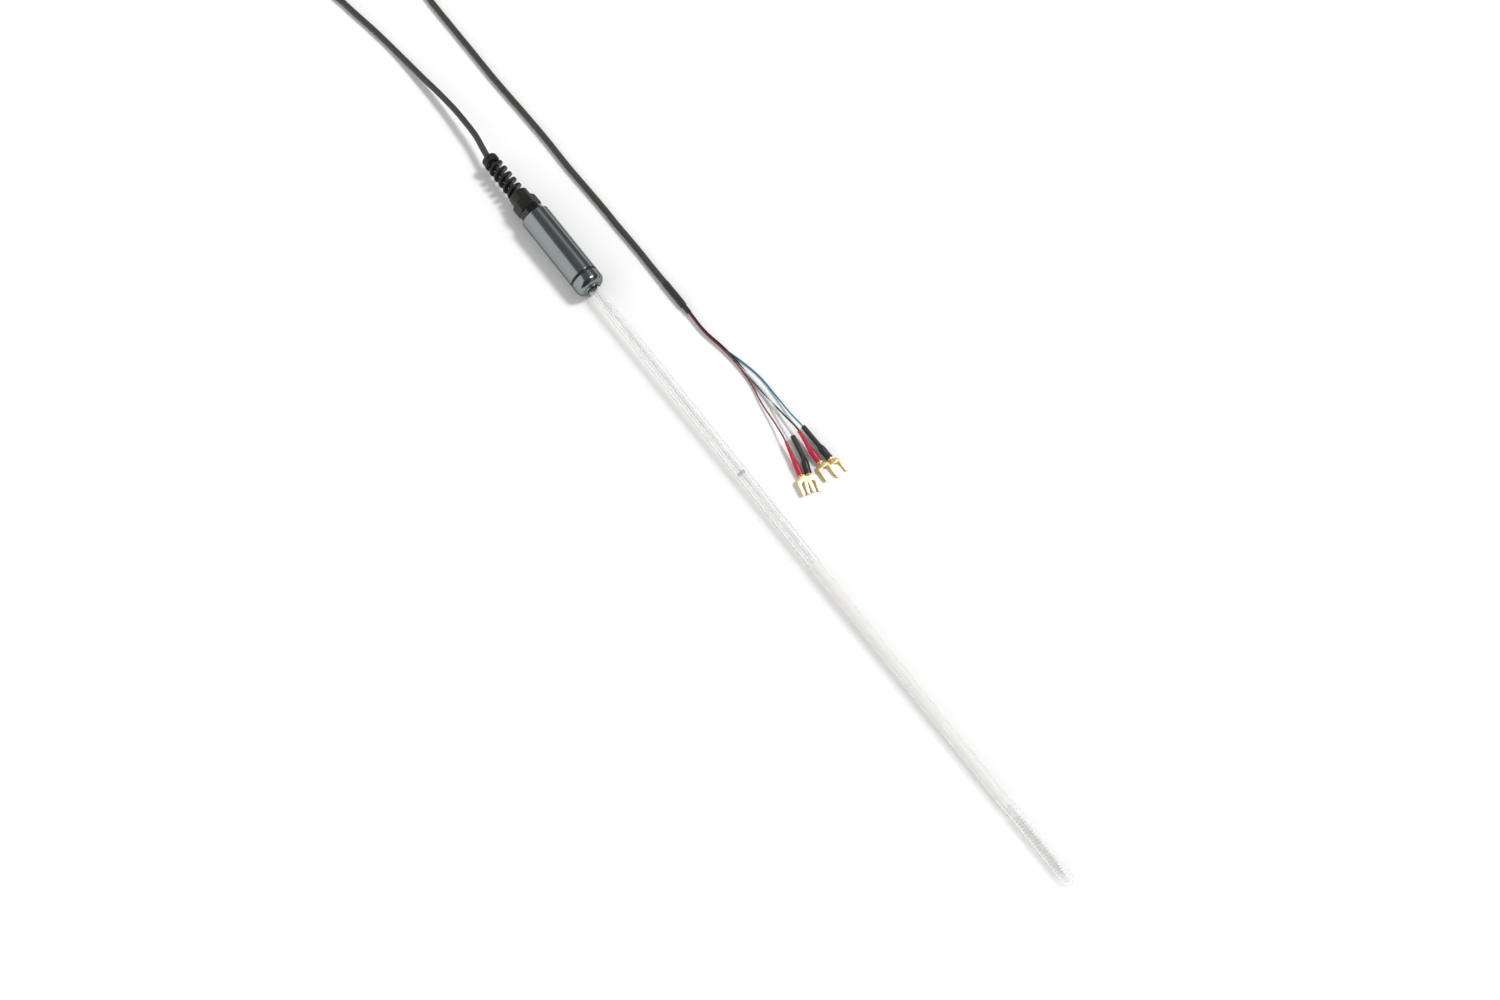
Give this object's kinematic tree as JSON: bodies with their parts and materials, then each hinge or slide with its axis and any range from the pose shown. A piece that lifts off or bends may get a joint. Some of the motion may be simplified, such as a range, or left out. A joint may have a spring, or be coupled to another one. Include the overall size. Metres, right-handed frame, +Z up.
{
  "type": "platinum resistance thermometer probe",
  "caption": "Quartz-sheathed resistance thermometer with a cylindrical handle, spiral bend relief, coiled cable and fork lugs.",
  "frame": {"origin": "on the surface it lies on, under the middle of the probe's length, cable left out", "axes": "+X along the probe towards the sheath's tip, +Z up"},
  "size_m": [0.7985, 0.0766, 0.0198],
  "materials": {
    "anodised_aluminium": "turned and anodised blue-grey, satin",
    "black_rubber": "smooth moulded rubber",
    "fused_quartz": "clear fused quartz with a blasted band",
    "potting": "cast potting compound",
    "inner_quartz": "clear drawn quartz",
    "platinum": "drawn platinum wire",
    "insulator": "machined insulator",
    "gold_plated_brass": "stamped and gold plated",
    "copper": "tinned copper strand",
    "black_nylon": "moulded black nylon",
    "cable_jacket": "extruded grey-black jacket",
    "black_sleeve": "shrunk black sleeve",
    "red_sleeve": "shrunk red sleeve",
    "red_wire": "extruded red insulation",
    "white_wire": "extruded pale insulation",
    "black_wire": "extruded black insulation",
    "blue_wire": "extruded blue insulation"
  },
  "bodies": {
    "root": {"handle_tube": "anodised_aluminium", "nose_cap": "anodised_aluminium", "nose_seal_ring": "black_rubber", "sheath_seal_rings": "black_rubber", "sheath": "fused_quartz", "sheath_plug": "potting", "capillaries_rear": "inner_quartz", "capillaries_front": "inner_quartz", "capillary_disc": "inner_quartz", "guard_disc": "inner_quartz", "sensor_former": "inner_quartz", "platinum_winding": "platinum", "platinum_leads": "platinum", "terminal_block": "insulator", "terminal_pins": "gold_plated_brass", "cable_cores": "copper", "gland_body": "black_nylon", "gland_seal": "black_rubber", "gland_nut_with_relief": "black_nylon", "cable_in_gland": "cable_jacket", "cable_handle_run": "cable_jacket", "cable_coil": "cable_jacket", "cable_far_run": "cable_jacket", "breakout_sleeve": "black_sleeve", "breakout_inner_sleeve": "black_sleeve", "wire_red": "red_wire", "wire_white": "white_wire", "wire_black": "black_wire", "wire_blue": "blue_wire", "sleeve_on_red": "red_sleeve", "sleeve_on_white": "black_sleeve", "sleeve_on_black": "red_sleeve", "sleeve_on_blue": "black_sleeve", "lug_on_red": "gold_plated_brass", "lug_on_white": "gold_plated_brass", "lug_on_black": "gold_plated_brass", "lug_on_blue": "gold_plated_brass"}
  },
  "joints": []
}
